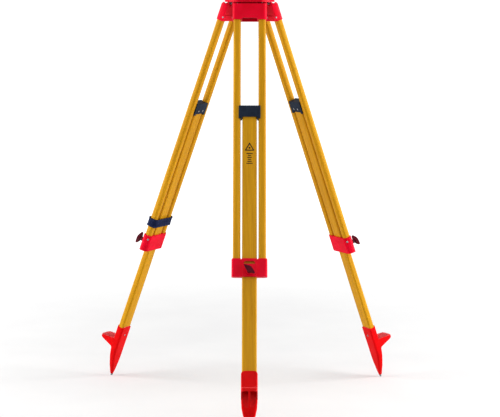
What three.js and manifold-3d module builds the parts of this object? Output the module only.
// Surveyor's tripod: a flat round head on three hinged legs, each leg a pair of round-edged
// stiles with a flat lower leg that slides between them, a screw clamp and a pointed foot shoe.
// Millimetres, +Z up. The origin is the centre of the head's flat top face; the front leg
// points towards -Y and the centring arm's pivot lies towards +Y.
import * as THREE from "three";
import { mergeVertices } from "three/addons/utils/BufferGeometryUtils.js";
import Module from "manifold-3d";

const wasm = await Module();
wasm.setup();

// ---------------------------------------------------------------- driving dimensions
// Distances called _S are measured down the leg from its hinge pin.
const GAP = 0.3; // clearance where two separate pieces lie against each other
const GROUND_Z = -1285; // plane of the three tips

const LEGS = [
  // azimuth of the leg, its splay from the vertical and the turn of its wing knob, degrees
  { name: "front", azimuth: -90, splay: 20.7, wingAngle: 40 },
  { name: "left", azimuth: 150, splay: 21.4, wingAngle: 57 },
  { name: "right", azimuth: 30, splay: 20.3, wingAngle: 140 },
];
const SIDES = [-1, 1];

// Hinge: shared by the head and the castings.
const PIN_RHO = 47.4; // distance of the pins from the axis
const PIN_Z = -15.4;
const PIN_R = 4;
const PIN_BORE_R = PIN_R + GAP;
const LUG_X = 30; // half width of the head's lug on each pin
const LEG_OFFSET = 13.4; // the leg's centre line lies this far outside its pin

// Stiles and lower leg: section width, depth and corner radius, then their ends.
const STILE_W = 23.5;
const STILE_D = 22;
const STILE_R = 8.3;
const STILE_X = 39.1; // centre of the section
const STILE_TOP_S = 18.6;
const STILE_END_S = 879.4;
const LOWER_W = 45.2;
const LOWER_D = 20.5;
const LOWER_R = 5.8;
const LOWER_TOP_S = 353;
const LOWER_END_S = 1225;

// Pins through the stiles: the casting's cross pin and the bracket's two side rivets.
const RIVET_R = 2.3;
const RIVET_HOLE_R = 2.7;
const CROSS_S = 49;
const CROSS_Y = 12;
const RIVET_S = 840.5;
const RIVET_Y = 8.5;

// Parts carried by the leg.
const CLAMP_S = 827; // top of the clamp bracket
const SCREW_S = 868; // axis of the clamp screw
const STRAP_S = 780.5; // middle of the strap
const GUIDE_S = 345; // top of the guide block
const GUIDE_SCREW_X = 11.7;
const GUIDE_SCREW_DROP = 26; // below the top of the guide block
const SHOE_S = 1170; // top of the foot shoe
const SHOE_END_S = 1350;
const TIP_S = 1358; // where the tip's axis meets the ground
const TIP_Y = 12;

// ---------------------------------------------------------------- materials
const paint = ({ color, roughness, metalness }) =>
  new THREE.MeshStandardMaterial({ color, roughness, metalness });
const materials = {
  red: () => paint({ color: 0xc4102e, roughness: 0.38, metalness: 0.15 }),
  wood: () => paint({ color: 0xc08a16, roughness: 0.5, metalness: 0 }),
  maroon: () => paint({ color: 0x4a0614, roughness: 0.45, metalness: 0 }),
  slate: () => paint({ color: 0x24303f, roughness: 0.5, metalness: 0 }),
  steel: () => paint({ color: 0xb9bcc0, roughness: 0.3, metalness: 0.9 }),
  brass: () => paint({ color: 0xb08d3c, roughness: 0.35, metalness: 0.9 }),
  black: () => paint({ color: 0x17181a, roughness: 0.5, metalness: 0 }),
  navy: () => paint({ color: 0x1a2452, roughness: 0.85, metalness: 0 }),
};

// ---------------------------------------------------------------- solids
const radians = (degrees) => (degrees * Math.PI) / 180;

// Closed solid from a geometry, turned right side out if its triangles face inwards.
function solid(geometry) {
  const loose = geometry.index ? geometry.toNonIndexed() : geometry.clone();
  loose.deleteAttribute("normal");
  loose.deleteAttribute("uv");
  const merged = mergeVertices(loose, 1e-4);
  const vertProperties = merged.attributes.position.array;
  const triVerts = new Uint32Array(merged.index.array);
  const build = () =>
    new wasm.Manifold(new wasm.Mesh({ numProp: 3, vertProperties, triVerts }));
  const made = build();
  if (made.volume() > 0) return made;
  for (let i = 0; i < triVerts.length; i += 3)
    [triVerts[i + 1], triVerts[i + 2]] = [triVerts[i + 2], triVerts[i + 1]];
  return build();
}
function geometryOf(made) {
  const { numProp, numVert, vertProperties, triVerts } = made.getMesh();
  const position = new Float32Array(numVert * 3);
  for (let i = 0; i < numVert; i++)
    position.set(vertProperties.subarray(i * numProp, i * numProp + 3), i * 3);
  const geometry = new THREE.BufferGeometry()
    .setAttribute("position", new THREE.BufferAttribute(position, 3))
    .setIndex(new THREE.BufferAttribute(new Uint32Array(triVerts), 1));
  geometry.computeVertexNormals();
  return geometry;
}
const union = (...solids) => solids.reduce((a, b) => a.add(b));
const cut = (body, ...tools) => tools.reduce((rest, tool) => rest.subtract(tool), body);

// Point lists: a half followed by its mirror image in the first or the second coordinate,
// and a profile that returns to its first point.
const mirrored = (half) => [...half, ...half.map(([x, y]) => [-x, y]).reverse()];
const doubleEnded = (half) => [...half, ...half.map(([r, d]) => [r, -d]).reverse()];
const closed = (profile) => [...profile, profile[0]];

const outline = (list) => new THREE.Shape(list.map(([x, y]) => new THREE.Vector2(x, y)));
// Points of four corner arcs, anticlockwise from (+, +): [centre x, centre y, radius, segments].
const cornerArcs = (corners) =>
  corners.flatMap(([x, y, radius, segments], quadrant) =>
    Array.from({ length: segments + 1 }, (_, i) => {
      const angle = radians(90 * quadrant + (90 * i) / segments);
      return [x + radius * Math.cos(angle), y + radius * Math.sin(angle)];
    }),
  );
function roundRectPoints(width, height, radius, segments, cx = 0, cy = 0) {
  const dx = width / 2 - radius;
  const dy = height / 2 - radius;
  return cornerArcs([
    [cx + dx, cy + dy, radius, segments],
    [cx - dx, cy + dy, radius, segments],
    [cx - dx, cy - dy, radius, segments],
    [cx + dx, cy - dy, radius, segments],
  ]);
}
const roundRect = (...sizes) => outline(roundRectPoints(...sizes));

// Prisms along each axis. X: the shape is drawn in (y, z). Y: it is drawn in (x, z).
const extrude = (shape, depth) =>
  new THREE.ExtrudeGeometry(shape, { depth, bevelEnabled: false, steps: 1 });
const basis = (...axes) =>
  new THREE.Matrix4().makeBasis(...axes.map((axis) => new THREE.Vector3(...axis)));
const X_PRISM = basis([0, 1, 0], [0, 0, 1], [1, 0, 0]);
const Y_PRISM = basis([1, 0, 0], [0, 0, 1], [0, -1, 0]);
const prismX = (shape, x0, x1) =>
  solid(extrude(shape, x1 - x0).applyMatrix4(X_PRISM).translate(x0, 0, 0));
const prismY = (shape, y0, y1) =>
  solid(extrude(shape, y1 - y0).applyMatrix4(Y_PRISM).translate(0, y1, 0));
const prismZ = (shape, z0, z1) => solid(extrude(shape, z1 - z0).translate(0, 0, z0));
const box = (x0, x1, y0, y1, z0, z1) =>
  solid(
    new THREE.BoxGeometry(x1 - x0, y1 - y0, z1 - z0).translate(
      (x0 + x1) / 2,
      (y0 + y1) / 2,
      (z0 + z1) / 2,
    ),
  );

// Body of revolution; the profile is a list of [radius, distance along the axis].
function turned(axis, profile, segments, at = [0, 0, 0]) {
  const lathe = new THREE.LatheGeometry(
    profile.map(([r, d]) => new THREE.Vector2(r, d)),
    segments,
  );
  if (axis === "z") lathe.rotateX(Math.PI / 2);
  if (axis === "x") lathe.rotateZ(-Math.PI / 2);
  return solid(lathe.translate(...at));
}
const rod = (axis, radius, from, to, at, segments) =>
  turned(axis, [[0, from], [radius, from], [radius, to], [0, to]], segments, at);

// Loft through rounded rectangles: [z, half width, y from, y to, corner radius].
function loft(sections, segments = 4) {
  const rings = sections.map(([z, half, y0, y1, radius]) =>
    roundRectPoints(2 * half, y1 - y0, radius, segments, 0, (y0 + y1) / 2).map(
      ([x, y]) => [x, y, z],
    ),
  );
  const count = rings[0].length;
  const position = rings.flat(2);
  const index = [];
  for (let k = 0; k + 1 < rings.length; k++)
    for (let i = 0; i < count; i++) {
      const a = k * count + i;
      const b = k * count + ((i + 1) % count);
      index.push(a, a + count, b, b, a + count, b + count);
    }
  // End caps: fans about a middle point.
  for (const [z, , y0, y1] of [sections[0], sections[sections.length - 1]])
    position.push(0, (y0 + y1) / 2, z);
  const firstHub = rings.length * count;
  const lastRing = firstHub - count;
  for (let i = 0; i < count; i++) {
    const next = (i + 1) % count;
    index.push(firstHub, i, next);
    index.push(firstHub + 1, lastRing + next, lastRing + i);
  }
  return solid(
    new THREE.BufferGeometry()
      .setAttribute("position", new THREE.Float32BufferAttribute(position, 3))
      .setIndex(index),
  );
}

const root = new THREE.Group();
function piece(parent, name, made, material, position = [0, 0, 0]) {
  const mesh = new THREE.Mesh(geometryOf(made), material);
  mesh.name = name;
  mesh.position.set(...position);
  parent.add(mesh);
  return mesh;
}

// ---------------------------------------------------------------- head
const HEAD_R = 79;
const HEAD_FLAT = 69; // distance from the axis to the three flats above the legs
const HEAD_T = 12; // depth of the rim
const HEAD_SKIN = 6; // thickness of the top plate inside the rim
const HEAD_RIM = 5; // width of the rim
const OPENING_R = 32; // central opening
const OPENING_RIM = 5.5;
const LUG_R = 8.2;

const ARM_PIVOT = [0, 62, 0];
const ARM_PIVOT_Y = ARM_PIVOT[1];
const ARM_TOP = -12.5;
const ARM_BOTTOM = ARM_TOP - 6;
const ARM_PLAY = 0.4; // between the arm and the flanges beneath it
const PIVOT_HOLE_TOP = -3.5; // the pivot's blind hole in the head
const STUD_R = 7.94; // 5/8 inch centring screw
const STUD_END = -59;
const COLLAR_BORE_R = 8.3; // bush and washer round the screw

// Round outline with a flat above each leg.
function headOutline(radius, flat, arcSegments) {
  const list = [];
  const halfFlat = (Math.acos(flat / radius) * 180) / Math.PI;
  for (const { azimuth } of [...LEGS].reverse()) {
    const start = azimuth + halfFlat;
    const end = azimuth + 120 - halfFlat;
    for (let i = 0; i <= arcSegments; i++) {
      const angle = radians(start + ((end - start) * i) / arcSegments);
      list.push([radius * Math.cos(angle), radius * Math.sin(angle)]);
    }
  }
  return outline(list);
}

// Lug for a hinge pin, hanging from the plate above the front leg.
function hingeLug() {
  const rise = -PIN_Z - HEAD_SKIN + 1;
  const block = outline([[-LUG_R, 0], [LUG_R, 0], [LUG_R, rise], [-LUG_R, rise]]);
  return union(
    prismX(block, -LUG_X, LUG_X),
    rod("x", LUG_R, -LUG_X, LUG_X, [0, 0, 0], 16),
  ).translate([0, -PIN_RHO, PIN_Z]);
}

function headPlate() {
  const pocket = cut(
    prismZ(headOutline(HEAD_R - HEAD_RIM, HEAD_FLAT - HEAD_RIM, 12), -HEAD_T - 1, -HEAD_SKIN),
    rod("z", OPENING_R + OPENING_RIM, -HEAD_T - 2, 0, [0, 0, 0], 32),
  );
  const aboveLegs = (made) => LEGS.map(({ azimuth }) => made.rotate([0, 0, azimuth + 90]));
  const pinBore = rod("x", PIN_BORE_R, -LUG_X - 1, LUG_X + 1, [0, -PIN_RHO, PIN_Z], 14);
  const body = union(
    cut(prismZ(headOutline(HEAD_R, HEAD_FLAT, 16), -HEAD_T, 0), pocket),
    ...aboveLegs(hingeLug()),
    rod("z", 8.5, -HEAD_T, -HEAD_SKIN + 1, ARM_PIVOT, 16),
  );
  return cut(
    body,
    rod("z", OPENING_R, -HEAD_T - 5, 5, [0, 0, 0], 40),
    rod("z", 3.3, -HEAD_T - 5, PIVOT_HOLE_TOP, ARM_PIVOT, 12),
    ...aboveLegs(pinBore),
  );
}

// Arm beneath the head: an eye on the pivot screw, a neck and a long slotted frame.
function centringArm() {
  const eye = rod("z", 9, ARM_BOTTOM, ARM_TOP, ARM_PIVOT, 20);
  const neck = box(-6.5, 6.5, 24, ARM_PIVOT_Y - 4, ARM_BOTTOM, ARM_TOP);
  const frame = prismZ(roundRect(29, 63, 12, 4), ARM_BOTTOM, ARM_TOP);
  const slot = prismZ(roundRect(20, 51, 9.99, 6), ARM_BOTTOM - 1, ARM_TOP + 1);
  const pivotHole = rod("z", 4.3, ARM_BOTTOM - 1, ARM_TOP + 1, ARM_PIVOT, 14);
  return cut(union(eye, neck, frame), slot, pivotHole);
}

function armPivotScrew() {
  const seat = ARM_BOTTOM - ARM_PLAY;
  const shoulder = -HEAD_T - GAP;
  const end = PIVOT_HOLE_TOP - 0.5;
  const profile = [
    [0, -23.2], [6, -23.2], [7, -22.2], [7, seat], [4, seat],
    [4, shoulder], [3, shoulder], [3, end], [0, end],
  ];
  return turned("z", profile, 14, ARM_PIVOT);
}

// Flanged bush in the arm's slot.
function guideBush() {
  const seat = ARM_BOTTOM - ARM_PLAY;
  const profile = [
    [COLLAR_BORE_R, -22.5], [14, -22.5], [15, -21.5], [15, seat],
    [9.6, seat], [9.6, -12.9], [COLLAR_BORE_R, -12.9],
  ];
  return turned("z", closed(profile), 20);
}

function thrustWasher() {
  const profile = [
    [COLLAR_BORE_R, -37.6], [13.5, -37.6], [13.5, -35.2], [COLLAR_BORE_R, -35.2],
  ];
  return turned("z", closed(profile), 20);
}

function centringScrew() {
  const chamfer = 1.2;
  const profile = [
    [0, STUD_END], [STUD_R, STUD_END], [STUD_R, -chamfer], [STUD_R - chamfer, 0], [0, 0],
  ];
  return turned("z", profile, 20);
}

// Round knob with flutes open at its lower end.
function centringKnob() {
  const fluteCount = 8;
  const fluteRho = 22.2;
  const bore = STUD_R + GAP;
  const profile = [
    [bore, -58.5], [17, -58.5], [20, -56], [20, -42.5],
    [17.5, -40], [13.5, -38], [bore, -38],
  ];
  const flutes = Array.from({ length: fluteCount }, (_, i) => {
    const angle = (i * 2 * Math.PI) / fluteCount;
    const at = [fluteRho * Math.cos(angle), fluteRho * Math.sin(angle), 0];
    return rod("z", 4.2, -63, -41, at, 8);
  });
  return cut(turned("z", closed(profile), 24), ...flutes);
}

// Plumb-bob hook: a stem and an open ring under the screw.
function plumbHook() {
  // [x, z] along the hook
  const path = [
    [0, STUD_END - GAP], [0, -61], [4.2, -63], [5.4, -66.6],
    [2.4, -70.2], [-2.4, -70.2], [-5.2, -66.9],
  ];
  const extrudePath = new THREE.CatmullRomCurve3(
    path.map(([x, z]) => new THREE.Vector3(x, 0, z)),
  );
  const options = { steps: 12, bevelEnabled: false, extrudePath };
  return solid(new THREE.ExtrudeGeometry(roundRect(3.4, 3.4, 1.1, 1), options));
}

piece(root, "head_plate", headPlate(), materials.red());
piece(root, "centring_arm", centringArm(), materials.red());
piece(root, "arm_pivot_screw", armPivotScrew(), materials.steel());
piece(root, "guide_bush", guideBush(), materials.brass());
piece(root, "thrust_washer", thrustWasher(), materials.steel());
piece(root, "centring_screw", centringScrew(), materials.brass());
piece(root, "centring_knob", centringKnob(), materials.black());
piece(root, "plumb_hook", plumbHook(), materials.steel());

// ---------------------------------------------------------------- stiles and lower leg
// Leg frame: x across the leg, y towards the tripod's axis, z up the leg; the pin is at
// y = LEG_OFFSET, z = 0, and the leg's centre line is y = 0.
const stileSection = (gap, x) =>
  roundRect(STILE_W + 2 * gap, STILE_D + 2 * gap, STILE_R + gap, 4, x, 0);
const lowerSection = (gap) =>
  roundRect(LOWER_W + 2 * gap, LOWER_D + 2 * gap, LOWER_R + gap, 3);
const stileSockets = (z0, z1) =>
  SIDES.map((side) => prismZ(stileSection(GAP, side * STILE_X), z0, z1));
// Two holes along y for the guide screws.
const guideScrewHoles = (radius, y0, y1, z) =>
  SIDES.map((side) => rod("y", radius, y0, y1, [side * GUIDE_SCREW_X, 0, z], 8));

// Stile with its cross pin hole and, from the outer side, its rivet hole.
function stile(side) {
  const [from, to] = side > 0 ? [-0.6, 40] : [-40, 0.6];
  return cut(
    prismZ(stileSection(0, 0), -STILE_END_S, -STILE_TOP_S),
    rod("x", RIVET_HOLE_R, -40, 40, [0, CROSS_Y, -CROSS_S], 10),
    rod("x", RIVET_HOLE_R, from, to, [0, RIVET_Y, -RIVET_S], 10),
  );
}
const lowerLeg = () =>
  cut(
    prismZ(lowerSection(0), -LOWER_END_S, -LOWER_TOP_S),
    ...guideScrewHoles(2.2, 2.5, 20, -GUIDE_S - GUIDE_SCREW_DROP),
  );

// ---------------------------------------------------------------- hinge casting
const CAST_W = 108;
const CAST_D = 29;
const CAST_R = 12; // corners away from the tripod's axis
const CAST_INNER_R = 2.5; // corners towards it
const CAST_WALL = 3.5;
const CAST_END_S = 63;
const EAR_R = 8.5;
const EAR_X0 = LUG_X + 0.5; // the ears stand on each side of the head's lug
const EAR_X1 = EAR_X0 + 6;
const WEB_X = 41.6;

// Leg-frame [y, z] of a point given by its distance outside the pin and its height above it
// when the leg stands at the reference splay.
const REFERENCE_SPLAY = radians(20.7);
const fromLevel = (rho, z) => [
  LEG_OFFSET - (rho * Math.cos(REFERENCE_SPLAY) + z * Math.sin(REFERENCE_SPLAY)),
  -(rho * Math.sin(REFERENCE_SPLAY) - z * Math.cos(REFERENCE_SPLAY)),
];

// Large round corners outside, small ones towards the axis.
function castingSection() {
  const innerX = CAST_W / 2 - CAST_INNER_R;
  const innerY = CAST_D / 2 - CAST_INNER_R;
  const outerX = CAST_W / 2 - CAST_R;
  const outerY = 1 - (CAST_D / 2 - CAST_R);
  return outline(
    cornerArcs([
      [innerX, innerY, CAST_INNER_R, 2],
      [-innerX, innerY, CAST_INNER_R, 2],
      [-outerX, outerY, CAST_R, 6],
      [outerX, outerY, CAST_R, 6],
    ]),
  );
}

// Shell: the top edge lies level under the head's rim, then falls towards the axis; the two
// side walls rise higher, outside the rim.
function castingShell(innerX) {
  const edgeY = CAST_D / 2 + 1; // just beyond the section
  const lowerEdges = [[-edgeY, -CAST_END_S], [edgeY, -CAST_END_S + 1], [edgeY, -6]];
  const panelSide = outline([
    ...lowerEdges,
    fromLevel(17, -1.4),
    fromLevel(28, -0.9),
    [-edgeY, -14.5],
  ]);
  const cheekSide = outline([
    ...lowerEdges,
    fromLevel(13, -0.8),
    fromLevel(16.2, 3),
    fromLevel(19.5, 3),
    fromLevel(28, -4.5),
    [-edgeY, -15.5],
  ]);
  const block = prismZ(castingSection(), -CAST_END_S - 2, 10);
  const cavity = prismZ(
    roundRect(CAST_W - 2 * CAST_WALL, CAST_D - 2 * CAST_WALL, CAST_R - CAST_WALL, 3),
    -14,
    30,
  );
  return cut(
    union(
      block.intersect(prismX(panelSide, -innerX - 0.5, innerX + 0.5)),
      block.intersect(prismX(cheekSide, -CAST_W, -innerX)),
      block.intersect(prismX(cheekSide, innerX, CAST_W)),
    ),
    cavity,
    box(-innerX, innerX, 0, 30, -10, 30), // opening towards the axis
  );
}

function hingeCasting() {
  const innerX = CAST_W / 2 - CAST_WALL;
  const web = outline([
    [LEG_OFFSET + 1, -14],
    fromLevel(5, -13),
    fromLevel(5, 2.2),
    fromLevel(-2, 2.2),
    [LEG_OFFSET + 1, -3],
  ]);
  const ear = outline([
    [LEG_OFFSET + 8.3, -2],
    [CAST_D / 2, -14],
    [CAST_D / 2, -17],
    [LEG_OFFSET - 18, -17],
    [LEG_OFFSET - 18, -10],
    [LEG_OFFSET - 6.4, 5.5],
  ]);
  const ears = [[-EAR_X1, -EAR_X0], [EAR_X0, EAR_X1]].flatMap(([x0, x1]) => [
    prismX(ear, x0, x1),
    rod("x", EAR_R, x0, x1, [0, LEG_OFFSET, 0], 16),
  ]);
  const body = union(
    castingShell(innerX),
    // webs outside the heads of the hinge pin
    prismX(web, WEB_X, innerX + 1),
    prismX(web, -innerX - 1, -WEB_X),
    // rib across the inner wall for the cross pin
    box(-CAST_W / 2, CAST_W / 2, 11.5, 17.4, -CROSS_S - 5.4, -CROSS_S + 5.4),
    ...ears,
  );
  return cut(
    body,
    rod("x", PIN_BORE_R, -50, 50, [0, LEG_OFFSET, 0], 14),
    // sockets for the two stiles, and the hollow between them
    ...stileSockets(-CAST_END_S - 5, -STILE_TOP_S + GAP),
    prismZ(roundRect(48, 22, 5, 2), -CAST_END_S - 5, -13),
    // notch in the outer wall's lower edge, and the shallow recess above it
    prismY(roundRect(47, 14, 3, 3, 0, -65.6), -20, 0),
    box(-23, 23, -20, -CAST_D / 2 + 1.3, -70, -47),
    rod("x", RIVET_HOLE_R, -CAST_W, CAST_W, [0, CROSS_Y, -CROSS_S], 10),
  );
}

function hingePin() {
  const half = [[0, -40.4], [3.6, -40.4], [5.4, -38.8], [5.4, -36.9], [PIN_R, -36.9]];
  return turned("x", doubleEnded(half), 12);
}

function crossPin() {
  const seat = CAST_W / 2 + GAP;
  const half = [[0, -55.6], [1.9, -55.6], [2.9, -55], [2.9, -seat], [RIVET_R, -seat]];
  return turned("x", doubleEnded(half), 10);
}

// ---------------------------------------------------------------- clamp
const CLAMP_H = 57.5;
const CLAMP_X = 54.4; // half width
const PAD_HALF = 12; // half side of the square pad
// Half of the bracket's section, [x, y]: round corners outside, then sides that draw in
// towards the tripod's axis.
const CLAMP_HALF_SECTION = [
  [46.4, -13], [49.5, -12.4], [52.1, -10.7], [53.8, -8.1], [CLAMP_X, -5], [CLAMP_X, -1],
  [53.1, 5], [51.3, 9.2], [48.2, 12.5], [44.2, 14.6], [41, 15],
];

// Block of the bracket, z = 0 at its top edge: round top corners, and an underside that rises
// a little towards the axis.
function clampBlock() {
  const cornerR = 3.2;
  const face = outline(
    mirrored([
      [CLAMP_X, -CLAMP_H - 1],
      [CLAMP_X, -cornerR],
      [CLAMP_X - 0.29 * cornerR, -0.29 * cornerR],
      [CLAMP_X - cornerR, 0],
    ]),
  );
  const flank = outline([
    [-20, -CLAMP_H], [-13, -CLAMP_H], [16, -CLAMP_H + 2],
    [20, -CLAMP_H + 2], [20, 1], [-20, 1],
  ]);
  return prismZ(outline(mirrored(CLAMP_HALF_SECTION)), -CLAMP_H - 1, 0)
    .intersect(prismY(face, -20, 20))
    .intersect(prismX(flank, -60, 60));
}

function clampBracket() {
  const screwZ = CLAMP_S - SCREW_S;
  const rivetAt = [0, RIVET_Y, CLAMP_S - RIVET_S];
  const pocketHalf = PAD_HALF + 0.5;
  const window = outline(mirrored([[-14, -9.4], [-18.5, -16], [-16.5, -17.8]]));
  return cut(
    union(
      clampBlock(),
      prismY(roundRect(44, 50, 6, 2, 0, -31), -18, -8), // raised centre panel
      rod("y", 9, -23, -12, [0, 0, screwZ], 16), // boss of the clamp screw
    ),
    ...stileSockets(CLAMP_S - STILE_END_S - GAP, 5),
    prismZ(lowerSection(0.4), -CLAMP_H - 10, 5),
    // notches in the top edge beside the lower leg
    ...SIDES.map((side) => prismY(roundRect(3.4, 6, 1.6, 2, side * 24.9, 0), -30, 30)),
    prismY(window, -30, 0), // above the screw
    // pocket of the clamp pad and the screw's hole
    box(-pocketHalf, pocketHalf, -15.3, -5, screwZ - pocketHalf, screwZ + pocketHalf),
    rod("y", 5, -30, -5, [0, 0, screwZ], 14),
    rod("x", RIVET_HOLE_R, 42, 70, rivetAt, 10),
    rod("x", RIVET_HOLE_R, -70, -42, rivetAt, 10),
  );
}

const clampPad = () => box(-PAD_HALF, PAD_HALF, -13.4, -10.9, -PAD_HALF, PAD_HALF);

function clampScrew() {
  const profile = [[0, -45], [4.6, -45], [4.6, -14.6], [3.4, -13.7], [0, -13.7]];
  return turned("y", profile, 14);
}

// Wing knob: a tapered neck and a lozenge-shaped wing across its end, axis along y.
function wingKnob() {
  const neckProfile = [[0, -50], [6.4, -50], [7.4, -25.2], [6.8, -24.2], [0, -24.2]];
  // The wing seen along the axis, [x, z].
  const lozenge = outline([
    [20, -1.7], [20.6, 0], [20, 1.7], [13, 4.6], [5, 7.5], [0, 8.6],
    [-5, 7.5], [-13, 4.6], [-20, 1.7], [-20.6, 0], [-20, -1.7], [-13, -4.6],
    [-5, -7.5], [0, -8.6], [5, -7.5], [13, -4.6],
  ]);
  // Half of the wing seen from its side, [x, y].
  const side = outline(
    mirrored([[8, -47.6], [16, -49.6], [22, -52], [22, -56], [14, -57.4], [7, -58.4]]),
  );
  const blade = prismY(lozenge, -60, -46).intersect(prismZ(side, -12, 12));
  const screwHole = rod("y", 4.9, -45.3, -20, [0, 0, 0], 14);
  return cut(union(turned("y", neckProfile, 16), blade), screwHole);
}

function sideRivet(side) {
  const profile = [
    [0, 39], [RIVET_R, 39], [RIVET_R, 52.9], [2.7, 52.9], [2.7, 53.5], [1.8, 54.2], [0, 54.2],
  ];
  return turned("x", profile, 10).rotate([0, 0, side > 0 ? 0 : 180]);
}

// ---------------------------------------------------------------- guide block and strap
const GUIDE_H = 35.5; // height at the middle
const GUIDE_END = -GUIDE_H - 5; // lower end beside the lower leg
const GUIDE_D = 28;
const GUIDE_PLATE_T = 2.65;

// Guide block, z = 0 at its top: a block between two wider plates.
function guideBlock() {
  const plateY = (GUIDE_D - GUIDE_PLATE_T) / 2;
  const plates = SIDES.map((side) =>
    prismZ(roundRect(66.8, GUIDE_PLATE_T, 0.9, 1, 0, side * plateY), GUIDE_END, 0),
  );
  return cut(
    union(prismZ(roundRect(53.9, GUIDE_D, 1.2, 1), GUIDE_END, 0), ...plates),
    prismZ(lowerSection(GAP), -60, GUIDE_S - LOWER_TOP_S + GAP),
    prismY(roundRect(46.8, 16, 2.5, 3, 0, -GUIDE_H - 8), -30, 30), // notch in the lower edge
    ...guideScrewHoles(2.3, 5, 30, -GUIDE_SCREW_DROP),
  );
}

function guideScrew() {
  const seat = GUIDE_D / 2 + 0.25;
  const profile = [
    [0, 3], [1.9, 3], [1.9, seat], [3.3, seat], [3.3, 15], [2, 15.9], [0, 15.9],
  ];
  return turned("y", profile, 10);
}

// Flat band round the whole leg.
function legStrap() {
  const width = 109;
  const depth = 36.6;
  const thickness = 3.4;
  const height = 29;
  return cut(
    prismZ(roundRect(width, depth, 15.5, 5), -height / 2, height / 2),
    prismZ(
      roundRect(width - 2 * thickness, depth - 2 * thickness, 12, 5),
      -height,
      height,
    ),
  );
}

// ---------------------------------------------------------------- foot
// Shoe frame: the leg frame with z = 0 at the shoe's top edge.
const shoeZ = (s) => SHOE_S - s;
const SHOE_BOTTOM = shoeZ(SHOE_END_S);
// [distance down the leg, half width, outer face y, inner face y, corner radius]
const SHOE_SECTIONS = [
  [SHOE_S, 24.9, -12.4, 12.4, 5.5],
  [1236, 24.9, -12.4, 12.4, 6],
  [1262, 24.6, -11.4, 12.4, 6.5],
  [1282, 23.2, -8.6, 13.4, 7],
  [1302, 18.8, -5.2, 14.8, 6.5],
  [1320, 13.4, -2.2, 15.6, 5.5],
  [1336, 8.8, 2.2, 16.2, 5],
  [SHOE_END_S, 5, 6.4, 15.4, 4.2],
];
// Half of the shoe's face, [x, z]: the top edge falls away at both corners.
const SHOE_HALF_FACE = [
  [26, SHOE_BOTTOM - 1], [26, -12], [24.8, -7.6], [22.4, -3.6], [18.6, -1], [13, 0],
];
// The pedal stands out from the leg, away from the axis. Its reach is measured from the leg's
// centre line, and its top drops by PEDAL_SLOPE for each millimetre of reach.
const PEDAL_REACH = 62.4;
const PEDAL_SLOPE = 0.165;
const pedalTop = (reach) => shoeZ(1220 + (reach - 10) * PEDAL_SLOPE);
// [y, z] at a reach, with a height above the pedal's top.
const onPedal = (reach, height) => [-reach, pedalTop(reach) + height];
// Half plans of the pedal and of the space within its edge walls, [x, y].
const PEDAL_HALF_PLAN = [
  [-24.9, -6], [-24.9, -30], [-24.8, -52], [-23.8, -57], [-20.5, -60.6], [-14, -PEDAL_REACH],
];
const PEDAL_HALF_INSIDE = [
  [-21.2, -4], [-21.2, -50], [-20.2, -54], [-17.4, -57], [-12, -58.4],
];
const RIDGE_COUNT = 6;

// Pedal plate with its cross ridges.
function pedalParts(column) {
  const end = PEDAL_REACH + 5;
  const slab = outline([onPedal(4, -4.2), onPedal(end, -4.2), onPedal(end, 0), onPedal(4, 0)]);
  const ridges = Array.from({ length: RIDGE_COUNT }, (_, i) => {
    const reach = 16 + i * 7.6;
    const half = i < RIDGE_COUNT - 1 ? 22.4 : 20.6;
    const section = outline([
      onPedal(reach, -1),
      onPedal(reach + 3.8, -1),
      onPedal(reach + 3, 1.7),
      onPedal(reach + 0.9, 1.7),
    ]);
    return column.intersect(prismX(section, -half, half));
  });
  return [column.intersect(prismX(slab, -30, 30)), ...ridges];
}

// Walls under the pedal round its edge.
function pedalWalls(column) {
  const side = outline([
    onPedal(4, -2),
    onPedal(PEDAL_REACH - 1, -2),
    onPedal(PEDAL_REACH - 1, -8),
    [-12, shoeZ(1251)],
    [-9, shoeZ(1256)],
    [-4, shoeZ(1256)],
  ]);
  const inside = prismZ(outline(mirrored(PEDAL_HALF_INSIDE)), -161, 1);
  return cut(column, inside).intersect(prismX(side, -30, 30));
}

// Rib under the middle of the pedal.
function pedalRib() {
  const side = outline([
    onPedal(4, -2),
    onPedal(PEDAL_REACH - 5, -3),
    [-14, shoeZ(1262)],
    [-9, shoeZ(1277)],
    [-4, shoeZ(1277)],
  ]);
  return prismX(side, -3, 3);
}

// Hollow in the shoe's outer face on one side of the rib.
function shoeHollow(side) {
  const face = outline([
    [side * 4.2, shoeZ(1229)],
    [side * 20, shoeZ(1229)],
    [side * 19, shoeZ(1262)],
    [side * 12, shoeZ(1278)],
    [side * 4.2, shoeZ(1279)],
  ]);
  const depth = outline([
    [-13, shoeZ(1228)],
    [-8.4, shoeZ(1228)],
    [-8.4, shoeZ(1258)],
    [-5, shoeZ(1280)],
    [-13, shoeZ(1280)],
  ]);
  return prismY(face, -13, -8.4).intersect(prismX(depth, -30, 30));
}

function footShoe() {
  const column = prismZ(outline(mirrored(PEDAL_HALF_PLAN)), -160, 0);
  const shell = loft(SHOE_SECTIONS.map(([s, ...sizes]) => [shoeZ(s), ...sizes])).intersect(
    prismY(outline(mirrored(SHOE_HALF_FACE)), -30, 30),
  );
  const hollowed = cut(union(shell, ...pedalParts(column)), ...SIDES.map(shoeHollow));
  // Socket of the lower leg and bore of the tip.
  return cut(
    union(hollowed, pedalWalls(column), pedalRib()),
    prismZ(lowerSection(GAP), shoeZ(LOWER_END_S) - GAP, 10),
    rod("z", 3.3, SHOE_BOTTOM - 10, SHOE_BOTTOM + 18, [0, TIP_Y, 0], 12),
  );
}

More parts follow.
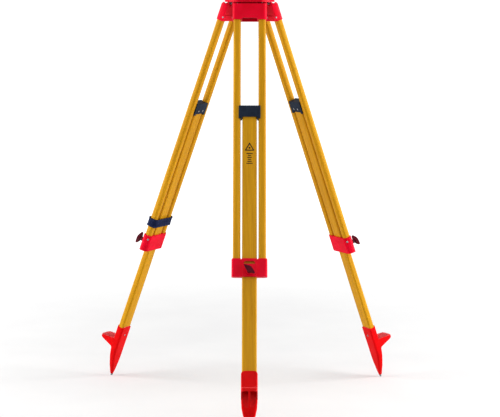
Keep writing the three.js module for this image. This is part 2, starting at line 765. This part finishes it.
// Steel tip in the leg frame, cut level at the ground; splay in degrees.
function steelTip(splay) {
  const point = -(TIP_S + 5);
  const shoulder = -(SHOE_END_S + 0.4);
  const shankTop = -(SHOE_END_S - 16);
  const profile = [
    [0, point], [1, point], [4.1, shoulder], [3, shoulder], [3, shankTop], [0, shankTop],
  ];
  const ground = box(-30, 30, -30, 30, -40, 0)
    .rotate([splay, 0, 0])
    .translate([0, TIP_Y, -TIP_S]);
  return turned("z", profile, 14, [0, TIP_Y, 0]).subtract(ground);
}

// ---------------------------------------------------------------- leg assembly
function group(parent, x, y, z) {
  const made = new THREE.Group();
  made.position.set(x, y, z);
  parent.add(made);
  return made;
}

function addLeg({ name, azimuth, splay, wingAngle }) {
  const { red, wood, maroon, slate, steel, brass, navy } = materials;
  const tilt = radians(splay);
  // How far this leg is run out so that its tip is on the ground plane.
  const tipDrop = PIN_Z + (LEG_OFFSET - TIP_Y) * Math.sin(tilt) - GROUND_Z;
  const run = tipDrop / Math.cos(tilt) - TIP_S;

  const turn = group(root, 0, 0, 0);
  turn.rotation.z = radians(azimuth + 90);
  const hinge = group(turn, 0, -PIN_RHO, PIN_Z);
  hinge.rotation.x = -tilt;
  const upper = group(hinge, 0, -LEG_OFFSET, 0);
  const lower = group(upper, 0, 0, -run);
  const add = (parent, part, made, material, position) =>
    piece(parent, `${name}_${part}`, made, material, position);

  add(upper, "hinge_casting", hingeCasting(), red());
  add(upper, "hinge_pin", hingePin(), steel(), [0, LEG_OFFSET, 0]);
  add(upper, "casting_cross_pin", crossPin(), steel(), [0, CROSS_Y, -CROSS_S]);
  for (const side of SIDES) {
    const letter = side < 0 ? "a" : "b";
    const screwAt = [side * GUIDE_SCREW_X, 0, -GUIDE_S - GUIDE_SCREW_DROP];
    add(upper, `stile_${letter}`, stile(side), wood(), [side * STILE_X, 0, 0]);
    add(upper, `clamp_rivet_${letter}`, sideRivet(side), steel(), [0, RIVET_Y, -RIVET_S]);
    add(lower, `guide_screw_${letter}`, guideScrew(), steel(), screwAt);
  }
  add(upper, "clamp_bracket", clampBracket(), red(), [0, 0, -CLAMP_S]);
  add(upper, "clamp_pad", clampPad(), brass(), [0, 0, -SCREW_S]);
  add(upper, "clamp_screw", clampScrew(), steel(), [0, 0, -SCREW_S]);
  const wing = add(upper, "wing_knob", wingKnob(), maroon(), [0, 0, -SCREW_S]);
  wing.rotation.y = radians(wingAngle);

  add(lower, "lower_leg", lowerLeg(), wood());
  add(lower, "guide_block", guideBlock(), slate(), [0, 0, -GUIDE_S]);
  add(lower, "foot_shoe", footShoe(), red(), [0, 0, -SHOE_S]);
  add(lower, "foot_tip", steelTip(splay), steel());

  if (name === "left") piece(upper, "leg_strap", legStrap(), navy(), [0, 0, -STRAP_S]);
}

LEGS.forEach(addLeg);

export default root;
